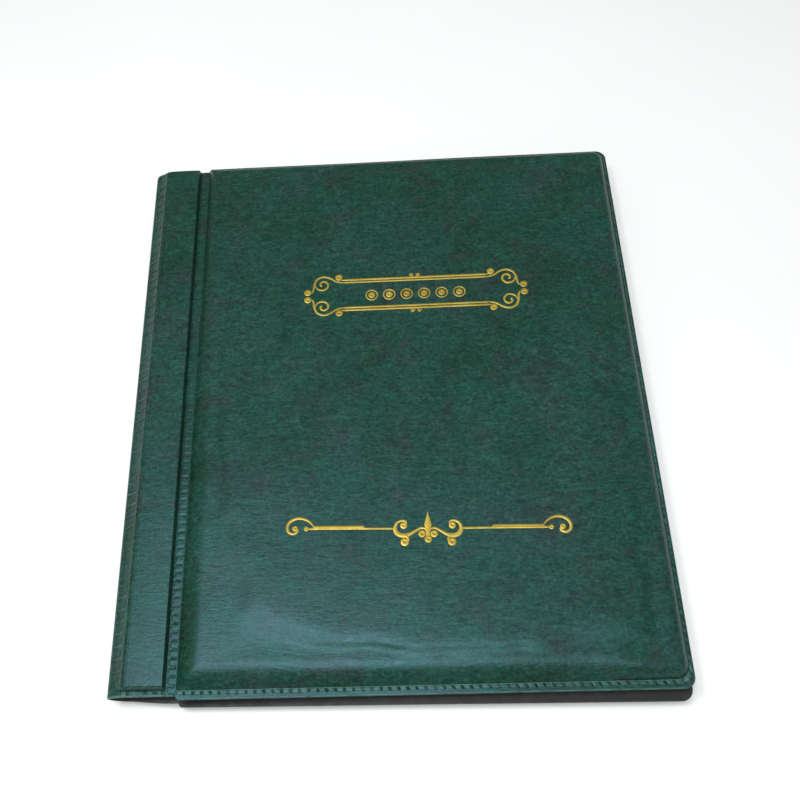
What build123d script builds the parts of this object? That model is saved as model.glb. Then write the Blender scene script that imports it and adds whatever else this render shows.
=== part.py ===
from build123d import *
import math
import os

# A padded coin album, closed and lying on its back cover. Millimetres, +Z up.
# The spine is at -X, the fore edge at +X, the head at +Y. The origin is under the middle of the album.
# Each half of the cover is a stitched panel, a groove, a flat boarded strip and a ribbed shoulder that
# runs round to the spine fold. The back half is the front half mirrored through the middle of the leaves.

ALBUM_WIDTH = 197.0
ALBUM_HEIGHT = 228.0
CROWN = 4.8                 # padding above the stitched flange
SKIN = 0.6                  # grained outer sheet
LINING = 0.4                # black inner sheet
LEAF_GAP = 4.4              # space between the two linings
FOIL = 0.05

FLANGE = SKIN + LINING
MID_Z = CROWN + FLANGE + LEAF_GAP / 2
LINING_Z = MID_Z + LEAF_GAP / 2
SKIN_Z = LINING_Z + LINING
FLANGE_Z = SKIN_Z + SKIN
CROWN_Z = FLANGE_Z + CROWN

FORE_X = ALBUM_WIDTH / 2
SPINE_X = -ALBUM_WIDTH / 2
PANEL_HALF = ALBUM_HEIGHT / 2
STITCHED_EDGE = 3.0         # flat welded border round the padding
FORE_CORNER = 4.0
GROOVE_CORNER = 1.2

# The shoulder is a quarter of an ellipse between the strip and the spine fold.
SHOULDER_WIDTH = 6.5
SHOULDER_RISE = 3.6
STRIP_LEFT = SPINE_X + SHOULDER_WIDTH
STRIP_WIDTH = 14.0
STRIP_RIGHT = STRIP_LEFT + STRIP_WIDTH
STRIP_RISE = 3.2            # how far the strip stands above the welds
STRIP_Z = FLANGE_Z + STRIP_RISE
STRIP_SHORT = 1.25          # the strip is this much shorter than the panel, at each end
STRIP_HALF = PANEL_HALF - STRIP_SHORT
STRIP_END_WELD = 2.0
STRIP_ROUND = 0.5
GROOVE_WIDTH = 3.6          # from the strip's edge to the padding
GROOVE_X = STRIP_RIGHT + 1.75  # line that the panel turns on
FLEX_GAP = 0.5              # slot at the groove, where the sheet flexes
FOLD_ANGLE = 20.0           # place of each fold on the ellipse, above and below its tip
FOLD_HALF_GAP = 3.0

BOARD = 2.0
BOARD_INSET = 4.0           # from the padding's weld to the board's edge
BOARD_CORNER = 3.0
STRIP_BOARD = 3.05
STRIP_BOARD_INSET = 3.0     # from the strip's end weld to its board
PLAY = 0.1                  # room between a board or pad and the sheets round it
SLIP = 0.02                 # room between sheets that lie on each other

# The padding's top edge is rounded; the cavity and the filling follow inside it.
CUSHION_ROUND = 4.2
CAVITY_ROUND = CUSHION_ROUND - SKIN
FILLING_ROUND = CAVITY_ROUND - PLAY
PLAN_CORNER_EXTRA = 1.0     # the padding's corners in plan are this much larger than its top edge

# Leaves, their clamped margins and the binding that holds them.
LEAF_COUNT = 10
LEAF_LEFT = -77.0
LEAF_SHORT = 9.0            # from the cover's fore edge to the leaves
LEAF_RIGHT = FORE_X - LEAF_SHORT
LEAF_HALF = 106.0
LEAF_CORNER = 2.0
LEAF_PITCH = 0.42
LEAF_BASE = 0.16
POCKET_FILM = 0.12
POCKET_ROWS = 5
POCKET_HEIGHT = 40.0
POCKET_PITCH = 42.0
POCKET_SIDE = 1.8
TOP_LEAF_Z = LINING_Z - LEAF_PITCH
MARGIN_RIGHT = -80.0
MARGIN_PITCH = 0.2
WEB = 0.2
WEB_PLAY = 0.03             # between the web and the spine's lining
BAR_OVERHANG = 0.3          # past the leaf margins, towards the spine
BAR_LEFT = STRIP_LEFT - BAR_OVERHANG
BAR_HALF = 104.0
BAR_Z = MID_Z + WEB / 2 + MARGIN_PITCH * LEAF_COUNT / 2 + SLIP
BAR_TOP = LINING_Z - PLAY

# Screw posts through the bars and the leaf margins.
POST_X = (STRIP_LEFT + MARGIN_RIGHT) / 2
POST_Y = (-75.0, 0.0, 75.0)
POST_R = 2.0
POST_HOLE_R = 2.1
SCREW_R = 1.25
SCREW_HOLE_R = 1.3
HEAD_R = 4.0
HEAD_RECESS_R = 4.2
HEAD = 0.6
HEAD_RECESS = 0.7
HEAD_SUNK = 0.04            # heads below the bar's face
HEAD_ROUND = 0.2
BARREL_PLAY = 0.06          # from the barrel's end to the screw's head
SCREW_SHORT = 0.4           # from the screw's end to the barrel's head
SLOT_WIDTH = 0.8
SLOT_DEPTH = 0.3

# Gold ornaments on the front panel.
GOLD_X = 13.2
FRAME_Y = 41.3
FLOURISH_Y = -57.3
DISC_COUNT = 6
DISC_PITCH = 7.0
DISC_R = 2.6
DISC_RING = 0.5

os.makedirs("parts", exist_ok=True)


def save(name, shape):
    export_step(shape, f"parts/{name}.step")


def plate(x0, x1, half, z0, z1, corner=0.0):
    """A flat sheet, centred on Y, with rounded corners when corner is given."""
    width = x1 - x0
    outline = RectangleRounded(width, 2 * half, corner) if corner else Rectangle(width, 2 * half)
    return extrude(Pos((x0 + x1) / 2, 0, z0) * outline, amount=z1 - z0)


def panel_sheet(z0, z1):
    """A whole panel sheet: large corners at the fore edge, small ones at the groove."""
    x0 = GROOVE_X + FLEX_GAP / 2
    sheet = plate(x0, FORE_X, PANEL_HALF, z0, z1)
    uprights = sheet.edges().filter_by(Axis.Z)
    sheet = fillet(uprights.group_by(Axis.X)[-1], FORE_CORNER)
    uprights = sheet.edges().filter_by(Axis.Z)
    return fillet(uprights.group_by(Axis.X)[0], GROOVE_CORNER)


def cushion(inset, z0, z1, edge_round):
    """The padded middle of a panel, inset from the stitching, with a rounded top edge."""
    body = plate(
        STRIP_RIGHT + GROOVE_WIDTH + inset,
        FORE_X - STITCHED_EDGE - inset,
        PANEL_HALF - STITCHED_EDGE - inset,
        z0,
        z1,
        edge_round + PLAN_CORNER_EXTRA,
    )
    return fillet(body.faces().sort_by(Axis.Z)[-1].edges(), edge_round)


def build_panel():
    """Skin, foam, board and lining of the front panel."""
    skin = panel_sheet(SKIN_Z, FLANGE_Z) + cushion(0.0, SKIN_Z, CROWN_Z, CUSHION_ROUND)
    skin -= cushion(SKIN, SKIN_Z, CROWN_Z - SKIN, CAVITY_ROUND)
    board = plate(
        STRIP_RIGHT + GROOVE_WIDTH + BOARD_INSET,
        FORE_X - STITCHED_EDGE - BOARD_INSET,
        PANEL_HALF - STITCHED_EDGE - BOARD_INSET,
        SKIN_Z,
        SKIN_Z + BOARD,
        BOARD_CORNER,
    )
    filling = cushion(SKIN + PLAY, SKIN_Z, CROWN_Z - SKIN - PLAY, FILLING_ROUND)
    foam = filling - plate(STRIP_RIGHT, FORE_X, PANEL_HALF, SKIN_Z, SKIN_Z + BOARD)
    lining = panel_sheet(LINING_Z, SKIN_Z)
    return {"skin": skin, "foam": foam, "board": board, "lining": lining}


def ellipse_point(depth, degrees):
    """A point (x, z) of the shoulder ellipse, depth below its outer surface."""
    a = math.radians(degrees)
    x = STRIP_LEFT - (SHOULDER_WIDTH - depth) * math.cos(a)
    z = MID_Z + (SHOULDER_RISE - depth) * math.sin(a)
    return (x, z)


def shoulder_sheet(depth, thickness, start, end, half):
    """A curved sheet that follows the shoulder ellipse between two angles, along the whole spine."""
    steps = 12
    angles = [start + (end - start) * i / steps for i in range(steps + 1)]
    outer = [ellipse_point(depth, a) for a in angles]
    inner = [ellipse_point(depth + thickness, a) for a in reversed(angles)]
    edges = [
        Spline(*outer),
        Line(outer[-1], inner[0]),
        Spline(*inner),
        Line(inner[-1], outer[0]),
    ]
    section = Plane.XZ * make_face(edges)
    return extrude(Pos(0, half, 0) * section, amount=2 * half)


def build_strip():
    """Skin, board and lining of the front hinge strip, with the ribbed shoulder as far as the fold."""
    fold = FOLD_ANGLE + FOLD_HALF_GAP
    weld_right = GROOVE_X - FLEX_GAP / 2
    raised_half = STRIP_HALF - STRIP_END_WELD
    tongue_z = MID_Z + SHOULDER_RISE
    raised = plate(STRIP_LEFT, STRIP_RIGHT, raised_half, tongue_z - SKIN, STRIP_Z)
    raised = fillet(raised.faces().sort_by(Axis.Z)[-1].edges(), STRIP_ROUND)
    skin = raised + plate(STRIP_LEFT + LINING, weld_right, STRIP_HALF, SKIN_Z, FLANGE_Z)
    skin += plate(STRIP_LEFT, STRIP_LEFT + 2 * LINING, STRIP_HALF, tongue_z - SKIN, tongue_z)
    skin += shoulder_sheet(0.0, SKIN, 90.0, fold, STRIP_HALF)
    skin -= plate(STRIP_LEFT + SKIN, STRIP_RIGHT - SKIN, raised_half - SKIN, SKIN_Z, STRIP_Z - SKIN)
    inset = SKIN + PLAY
    board = plate(
        STRIP_LEFT + inset,
        STRIP_RIGHT - inset,
        raised_half - STRIP_BOARD_INSET,
        SKIN_Z,
        SKIN_Z + STRIP_BOARD,
    )
    lining = plate(STRIP_LEFT, weld_right, STRIP_HALF, LINING_Z, SKIN_Z)
    lining += plate(STRIP_LEFT, STRIP_LEFT + LINING, STRIP_HALF, LINING_Z, tongue_z - SKIN)
    lining += shoulder_sheet(SKIN, LINING, 90.0, fold, STRIP_HALF)
    return {"skin": skin, "board": board, "lining": lining}


def through_posts(radius, z0, z1):
    """One upright cylinder at each post."""
    rod = extrude(Circle(radius), amount=z1 - z0)
    return [Pos(POST_X, y, z0) * rod for y in POST_Y]


def build_bar():
    """The upper clamping bar, drilled and recessed for the post heads."""
    bar = plate(BAR_LEFT, MARGIN_RIGHT, BAR_HALF, BAR_Z, BAR_TOP)
    for hole in through_posts(POST_HOLE_R, BAR_Z, BAR_TOP):
        bar -= hole
    for recess in through_posts(HEAD_RECESS_R, BAR_TOP - HEAD_RECESS, BAR_TOP):
        bar -= recess
    return bar


def build_leaf(index):
    """Base sheet and pocket films of one leaf; leaf 0 is the top one."""
    z = TOP_LEAF_Z - LEAF_PITCH * index
    base = plate(LEAF_LEFT, LEAF_RIGHT, LEAF_HALF, z, z + LEAF_BASE, LEAF_CORNER)
    films = []
    for row in range(POCKET_ROWS):
        middle = (row - (POCKET_ROWS - 1) / 2) * POCKET_PITCH
        film = plate(
            LEAF_LEFT + POCKET_SIDE,
            LEAF_RIGHT - POCKET_SIDE,
            POCKET_HEIGHT / 2,
            z + LEAF_BASE,
            z + LEAF_BASE + POCKET_FILM,
        )
        films.append(Pos(0, middle, 0) * film)
    return base, Compound(children=films)


def build_margins():
    """The clamped edges of all leaves, half of them above the web and half below it."""
    sheets = []
    for side in (1, -1):
        for i in range(LEAF_COUNT // 2):
            low = WEB / 2 + SLIP + MARGIN_PITCH * i
            z = MID_Z + low if side > 0 else MID_Z - low - LEAF_BASE
            sheet = plate(STRIP_LEFT, MARGIN_RIGHT, LEAF_HALF, z, z + LEAF_BASE)
            for hole in through_posts(POST_HOLE_R, z, z + LEAF_BASE):
                sheet -= hole
            sheets.append(sheet)
    return Compound(children=sheets)


def build_posts():
    """Barrels, entered from the front, and the slotted screws that close them from the back."""
    head_top = BAR_TOP - HEAD_SUNK
    head_low = head_top - HEAD
    screw_head_low = 2 * MID_Z - head_top
    screw_head_top = screw_head_low + HEAD
    barrels = []
    screws = []
    for y in POST_Y:
        spot = Pos(POST_X, y, 0)
        barrel = Pos(0, 0, head_low) * extrude(Circle(HEAD_R), amount=HEAD)
        barrel += Pos(0, 0, screw_head_top + BARREL_PLAY) * extrude(
            Circle(POST_R), amount=head_low - screw_head_top
        )
        barrel -= Pos(0, 0, screw_head_top) * extrude(
            Circle(SCREW_HOLE_R), amount=head_low - screw_head_top
        )
        barrel = fillet(barrel.edges().filter_by(GeomType.CIRCLE).sort_by(Axis.Z)[-1], HEAD_ROUND)
        barrels.append(spot * barrel)
        screw = Pos(0, 0, screw_head_low) * extrude(Circle(HEAD_R), amount=HEAD)
        screw += Pos(0, 0, screw_head_top) * extrude(
            Circle(SCREW_R), amount=head_low - screw_head_top - SCREW_SHORT
        )
        screw -= Pos(0, 0, screw_head_low + SLOT_DEPTH / 2) * Box(2 * HEAD_R, SLOT_WIDTH, SLOT_DEPTH)
        screws.append(spot * screw)
    return Compound(children=barrels), Compound(children=screws)


def four_ways(sketch):
    """A quarter ornament copied into all four quadrants."""
    half = sketch + mirror(sketch, about=Plane.YZ)
    return half + mirror(half, about=Plane.XZ)


def stroke(width, *points):
    return trace(Spline(*points), line_width=width)


def bar_mark(x0, x1, y, width):
    return Pos((x0 + x1) / 2, y) * Rectangle(x1 - x0, width)


def foil(sketch, x, y):
    """A sketch stamped on the crown of the front panel."""
    return extrude(Pos(x, y, CROWN_Z) * sketch, amount=FOIL)


def frame_ornament():
    """A long cartouche: double bars with scrolled ends."""
    quarter = bar_mark(-29.0, 0.0, 7.5, 1.0) + bar_mark(-29.0, 0.0, 6.4, 0.45)
    quarter += bar_mark(-29.0, -28.2, 7.0, 1.4)
    quarter += Pos(-29.3, 8.7) * Circle(1.3)
    quarter += Pos(-1.1, 8.7) * Circle(0.85)
    quarter += stroke(
        0.6, (-28.6, 6.45), (-31.4, 7.3), (-34.0, 9.2), (-37.2, 9.4), (-39.8, 7.2), (-40.6, 4.2), (-41.2, 2.4)
    )
    quarter += stroke(
        0.6, (-40.1, 6.2), (-38.6, 3.6), (-35.8, 3.2), (-34.0, 5.2), (-34.7, 7.2), (-36.6, 7.3), (-37.2, 5.9)
    )
    quarter += Pos(-42.5, 1.75) * Circle(1.55)
    return four_ways(quarter)


def disc_row():
    """A row of plain rings with round centres, like coins laid side by side."""
    row = Sketch()
    for i in range(DISC_COUNT):
        x = (i - (DISC_COUNT - 1) / 2) * DISC_PITCH
        ring = Circle(DISC_R) - Circle(DISC_R - DISC_RING)
        row += Pos(x, 0) * (ring + Circle(DISC_R - 2.2 * DISC_RING))
    return row


def flourish_ornament():
    """A long flourish: bars with scrolled ends and a small spear with petals in the middle."""
    half = bar_mark(-41.5, -21.5, 0.0, 1.6) + bar_mark(-21.6, -11.5, -0.1, 0.7)
    half += Pos(-42.0, -0.3) * Circle(0.9)
    half += stroke(
        0.8, (-40.0, 0.5), (-41.8, 3.0), (-44.8, 3.9), (-47.8, 2.8), (-49.2, 0.3), (-48.2, -1.9), (-46.3, -2.2),
        (-45.0, -0.8)
    )
    half += Pos(-45.9, -0.5) * Circle(1.0)
    half += stroke(
        1.1, (-8.0, 1.1), (-8.6, 2.4), (-10.6, 2.2), (-11.8, 0.0), (-10.4, -2.2), (-7.4, -2.5), (-4.6, -1.2),
        (-2.4, 0.1), (-0.6, -0.9)
    )
    half += Pos(-8.9, 0.7) * Circle(1.0)
    half += Pos(-8.1, -5.2) * Circle(1.7) + stroke(0.9, (-8.6, -2.4), (-7.0, -3.2), (-6.8, -4.6))
    half += Pos(-1.8, -2.2) * Circle(1.3)
    spear = make_face(Polyline((0.0, 5.8), (-1.4, 0.6), (-0.6, 0.0), (-0.6, -4.0), (0.0, -4.0), (0.0, 5.8)))
    half += spear
    return half + mirror(half, about=Plane.YZ) + Pos(0, -4.5) * Circle(1.1)


def build():
    middle = Plane.XY.offset(MID_Z)
    for part, shape in build_panel().items():
        save(f"front_cover_{part}", shape)
        save(f"back_cover_{part}", mirror(shape, about=middle))
    for part, shape in build_strip().items():
        save(f"front_strip_{part}", shape)
        save(f"back_strip_{part}", mirror(shape, about=middle))

    spine_end = FOLD_ANGLE - FOLD_HALF_GAP
    save("spine_skin", shoulder_sheet(0.0, SKIN, spine_end, -spine_end, STRIP_HALF))
    save("spine_lining", shoulder_sheet(SKIN, LINING, spine_end, -spine_end, STRIP_HALF))
    web = plate(SPINE_X + FLANGE + WEB_PLAY, MARGIN_RIGHT, LEAF_HALF, MID_Z - WEB / 2, MID_Z + WEB / 2)
    for hole in through_posts(POST_HOLE_R, MID_Z - WEB / 2, MID_Z + WEB / 2):
        web -= hole
    save("spine_web", web)

    bar = build_bar()
    save("binding_bar_front", bar)
    save("binding_bar_back", mirror(bar, about=middle))
    barrels, screws = build_posts()
    save("post_barrels", barrels)
    save("post_screws", screws)
    save("leaf_margins", build_margins())
    for index in range(LEAF_COUNT):
        base, pockets = build_leaf(index)
        save(f"leaf_{index + 1:02d}_sheet", base)
        save(f"leaf_{index + 1:02d}_pockets", pockets)

    save("title_frame_foil", foil(frame_ornament(), GOLD_X, FRAME_Y))
    save("title_discs_foil", foil(disc_row(), GOLD_X, FRAME_Y))
    save("flourish_foil", foil(flourish_ornament(), GOLD_X, FLOURISH_Y))


build()
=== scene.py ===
import math

import bpy
import bmesh
import numpy as np
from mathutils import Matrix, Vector, noise
from mathutils.bvhtree import BVHTree


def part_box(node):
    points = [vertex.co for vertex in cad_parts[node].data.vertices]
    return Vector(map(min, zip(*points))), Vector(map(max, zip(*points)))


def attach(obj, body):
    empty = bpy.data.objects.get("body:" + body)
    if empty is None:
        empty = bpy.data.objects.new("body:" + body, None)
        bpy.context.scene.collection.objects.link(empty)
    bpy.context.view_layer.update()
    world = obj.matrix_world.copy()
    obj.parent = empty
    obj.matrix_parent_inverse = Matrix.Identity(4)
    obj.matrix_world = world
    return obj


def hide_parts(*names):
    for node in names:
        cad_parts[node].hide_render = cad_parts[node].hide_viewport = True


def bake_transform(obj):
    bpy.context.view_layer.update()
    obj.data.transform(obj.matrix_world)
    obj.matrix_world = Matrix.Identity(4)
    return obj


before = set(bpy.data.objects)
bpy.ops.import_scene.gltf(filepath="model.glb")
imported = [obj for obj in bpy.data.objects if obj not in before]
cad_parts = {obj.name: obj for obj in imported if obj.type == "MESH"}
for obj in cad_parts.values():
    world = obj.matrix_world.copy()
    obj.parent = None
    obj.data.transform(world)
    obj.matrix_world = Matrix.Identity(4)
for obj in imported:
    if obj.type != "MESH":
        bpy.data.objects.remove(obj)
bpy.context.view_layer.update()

# Lengths are millimetres in the part's frame, and make_object turns them into metres. Lamps and the camera
# are placed in metres. Everything is drawn for the front cover; the back cover is its mirror through MID_Z.
MM = 0.001


def box_mm(node):
    """The low and high corners of a CAD node's box."""
    low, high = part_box(node)
    return np.array(low) / MM, np.array(high) / MM


panel_high = box_mm("front_cover_skin")[1]
lining_low, lining_high = box_mm("front_cover_lining")
board_low, board_high = box_mm("front_cover_board")
strip_high = box_mm("front_strip_skin")[1]
pad_low, pad_high = box_mm("front_cover_foam")
strip_board_low, strip_board_high = box_mm("front_strip_board")
spine_low, spine_high = box_mm("spine_skin")
margins_low, margins_high = box_mm("leaf_margins")

# Levels: the vinyl lies on the lining, and its flat welded parts are at FLANGE_Z.
MID_Z = (spine_low[2] + spine_high[2]) / 2
SKIN = 0.6
PLAY = 0.1
LINING = lining_high[2] - lining_low[2]
LINING_Z = lining_low[2]
FLANGE_Z = lining_high[2] + SKIN
CROWN_Z = panel_high[2]

# The cloth swells by CLOTH_SWELL at most, so the pillow that it starts from is a little lower than the crown.
CLOTH_SWELL = 0.5
PILLOW_RISE = CROWN_Z - FLANGE_Z - CLOTH_SWELL / 2

# Plan sizes.
PANEL_HALF = panel_high[1]
FORE_X = panel_high[0]
STRIP_HALF = strip_high[1]
STRIP_Z = strip_high[2]
STRIP_LEFT = strip_board_low[0] - SKIN - PLAY
STRIP_RIGHT = strip_board_high[0] + SKIN + PLAY
GROOVE_RIGHT = pad_low[0] - SKIN - PLAY
BORDER = FORE_X - pad_high[0] - SKIN - PLAY
# At the head and the fore edge the padding bulges out and covers most of the welded border.
HIDDEN_BORDER = 1.4
PAD_RIGHT = FORE_X - HIDDEN_BORDER
PAD_HALF = PANEL_HALF - (BORDER + HIDDEN_BORDER) / 2
PAD_MIDDLE_Y = (BORDER - HIDDEN_BORDER) / 2
STRIP_END = 2.0
FORE_CORNER = 4.0
GROOVE_CORNER = 1.2
PAD_CORNER = 5.0
PAD_GROOVE_CORNER = 1.0

# The spine shoulder is a quarter of an ellipse, lifted by SHOULDER_CLIMB where it meets the strip.
SHOULDER_WIDTH = STRIP_LEFT - spine_low[0]
SHOULDER_RISE = 3.6
SHOULDER_CLIMB = 2.35

# Welded relief.
STITCH_PITCH = 3.05
RUNG_PITCH = 4.35
BORDER_STITCH = 0.42
STRIP_STITCH = 0.36
GROOVE_STITCH = 0.26

# How far the soft back cover lies out of line with the front one: at its groove, and more at its fore edge.
GROOVE_SLIP = 1.4
FORE_SLIP = 1.6

# Leaves.
LEAVES = 10
POCKET_COLUMNS, POCKET_ROWS = 5, 5
FILM_THICK = 0.13
POCKET_PUFF = 0.20
HALF_WELD = 1.1


# ---------------------------------------------------------------- curves and grids

def smooth_step(low, high, value):
    """0 below low and 1 above high, with a smooth rise between them."""
    t = np.clip((value - low) / (high - low), 0.0, 1.0)
    return t * t * (3 - 2 * t)


def band(value, start, full, fade, end):
    """1 between full and fade, falling smoothly to 0 at start and at end."""
    return smooth_step(start, full, value) * (1 - smooth_step(fade, end, value))


def hump(value, centre, width):
    """A smooth hump that is 1 at its centre."""
    return np.exp(-((value - centre) / width) ** 2)


def pressed_edge(distance, depth, width):
    """How far the vinyl is pressed down at a distance from its cut edge."""
    return depth * (1 - smooth_step(0.0, width, distance))


def soft_floor(values, low):
    """The values, bent smoothly so that none is under low."""
    reach = 0.12
    return low + 0.5 * (values - low + np.sqrt((values - low) ** 2 + reach**2))


def smoothed(values, rounds):
    """Averages each value with its four neighbours, a few times over."""
    for _ in range(rounds):
        padded = np.pad(values, 1, mode="edge")
        around = padded[:-2, 1:-1] + padded[2:, 1:-1] + padded[1:-1, :-2] + padded[1:-1, 2:]
        values = 0.5 * values + 0.125 * around
    return values


def ripple(x, y, wavelength, seed):
    """Smooth repeatable noise, about -1 to 1, at each point."""
    flat = [
        noise.noise(Vector((float(a) / wavelength, float(b) / wavelength, seed)))
        for a, b in zip(np.ravel(x), np.ravel(y))
    ]
    return np.array(flat).reshape(np.shape(x))


def clustered(low, high, edge_step, middle_step, edge_width):
    """Numbers from low to high, close together near both ends."""
    near = np.arange(low, low + edge_width, edge_step)
    middle = np.linspace(near[-1], low + high - near[-1], max(2, int((high - low) / middle_step)))
    return np.concatenate([near, middle[1:-1], (low + high - near)[::-1]])


def corner_radius(x, middle, left_corner, right_corner):
    """The radius of the nearer corners, at the left or at the right of the middle."""
    return np.where(x < middle, left_corner, right_corner)


def rounded_grid(xs, ys, left_corner, right_corner):
    """Grid points of a rectangle whose corners are drawn in to quarter circles."""
    x, y = np.meshgrid(xs, ys, indexing="ij")
    corner = corner_radius(x, (xs[0] + xs[-1]) / 2, left_corner, right_corner)
    centre_x = np.clip(x, xs[0] + corner, xs[-1] - corner)
    centre_y = np.clip(y, ys[0] + corner, ys[-1] - corner)
    a = x - centre_x
    b = y - centre_y
    reach = np.maximum(abs(a), abs(b))
    both = (abs(a) > 1e-9) & (abs(b) > 1e-9)
    small = np.minimum(abs(a), abs(b)) / np.maximum(reach, 1e-9)
    turn = math.pi / 4 * small
    angle = np.where(abs(a) >= abs(b), turn, math.pi / 2 - turn)
    x = np.where(both, centre_x + np.sign(a) * reach * np.cos(angle), x)
    y = np.where(both, centre_y + np.sign(b) * reach * np.sin(angle), y)
    return x, y


def edge_distance(x, y, x0, x1, half, left_corner, right_corner):
    """How far a point lies inside a rectangle with rounded corners."""
    middle = (x0 + x1) / 2
    corner = corner_radius(x, middle, left_corner, right_corner)
    a = abs(x - middle) - (x1 - x0) / 2 + corner
    b = abs(y) - half + corner
    outside = np.hypot(np.maximum(a, 0), np.maximum(b, 0))
    return corner - outside - np.minimum(np.maximum(a, b), 0)


def near_side(y):
    """Stitches are sharpest and the painted highlights on edges strongest near the foot of the album: 1
    there, 0.12 at the head.
    """
    return 1.0 - 0.88 * smooth_step(-0.95 * PANEL_HALF, 0.1 * PANEL_HALF, y)


# ---------------------------------------------------------------- meshes

def make_object(name, points, faces, materials, face_slots=None, smooth_angle=38.0):
    """A mesh object from points in millimetres, with outward normals."""
    mesh = bpy.data.meshes.new(name)
    mesh.from_pydata((np.asarray(points, float) * MM).tolist(), [], faces)
    for material in materials:
        mesh.materials.append(material)
    if face_slots is not None:
        mesh.polygons.foreach_set("material_index", np.asarray(face_slots, np.int32))
    work = bmesh.new()
    work.from_mesh(mesh)
    bmesh.ops.recalc_face_normals(work, faces=work.faces)
    work.to_mesh(mesh)
    work.free()
    mesh.polygons.foreach_set("use_smooth", np.ones(len(mesh.polygons), bool))
    mesh.set_sharp_from_angle(angle=math.radians(smooth_angle))
    piece = bpy.data.objects.new(name, mesh)
    bpy.context.scene.collection.objects.link(piece)
    return piece


def grid_faces(rows, columns, start=0):
    """The four-sided faces of a grid of points that are numbered row by row from start."""
    index = np.arange(rows * columns).reshape(rows, columns) + start
    quads = np.stack([index[:-1, :-1], index[1:, :-1], index[1:, 1:], index[:-1, 1:]], axis=-1)
    return quads.reshape(-1, 4)


def shell(name, top, bottom, materials, wall_slot=0, wear_and_highlight=None):
    """A closed sheet between two grids of points: top takes slot 0, bottom takes slot 1.

    The last argument, from 0 to 1 at each point of the top, is a painted highlight: where it is high the
    vinyl is painted paler, for light caught on edges and ridges.
    """
    rows, columns = top.shape[:2]
    count = rows * columns
    upper = grid_faces(rows, columns)
    lower = grid_faces(rows, columns, count)
    index = np.arange(count).reshape(rows, columns)
    rim = np.concatenate([index[:, 0], index[-1, 1:], index[-2::-1, -1], index[0, -2:0:-1]])
    after = np.roll(rim, -1)
    walls = np.stack([rim, after, after + count, rim + count], axis=-1)
    faces = np.concatenate([upper, lower, walls]).tolist()
    bottom_slot = min(1, len(materials) - 1)
    slots = [0] * len(upper) + [bottom_slot] * len(lower) + [wall_slot] * len(walls)
    points = np.concatenate([top.reshape(-1, 3), bottom.reshape(-1, 3)])
    piece = make_object(name, points, faces, materials, slots)
    # The painted highlight is kept as a per-point attribute for the vinyl material.
    painted_highlight = np.zeros(2 * count, np.float32)
    if wear_and_highlight is not None:
        painted_highlight[:count] = np.broadcast_to(wear_and_highlight, (rows, columns)).ravel()
    piece.data.attributes.new("wear_and_highlight", "FLOAT", "POINT").data.foreach_set("value", painted_highlight)
    return piece


def turned(points, side):
    """The same points for the front cover (1), or mirrored through the leaves for the back cover (-1).

    The soft back cover also lies a little skewed: it slips towards the foot, more at its fore edge.
    """
    if side > 0:
        return points
    flipped = points.copy()
    flipped[..., 2] = 2 * MID_Z - flipped[..., 2]
    at_groove = smooth_step(spine_low[0], GROOVE_RIGHT, points[..., 0])
    past_groove = np.clip((points[..., 0] - GROOVE_RIGHT) / (FORE_X - GROOVE_RIGHT), 0.0, 1.0)
    flipped[..., 1] -= GROOVE_SLIP * at_groove + FORE_SLIP * past_groove
    return flipped


# ---------------------------------------------------------------- materials

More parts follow.
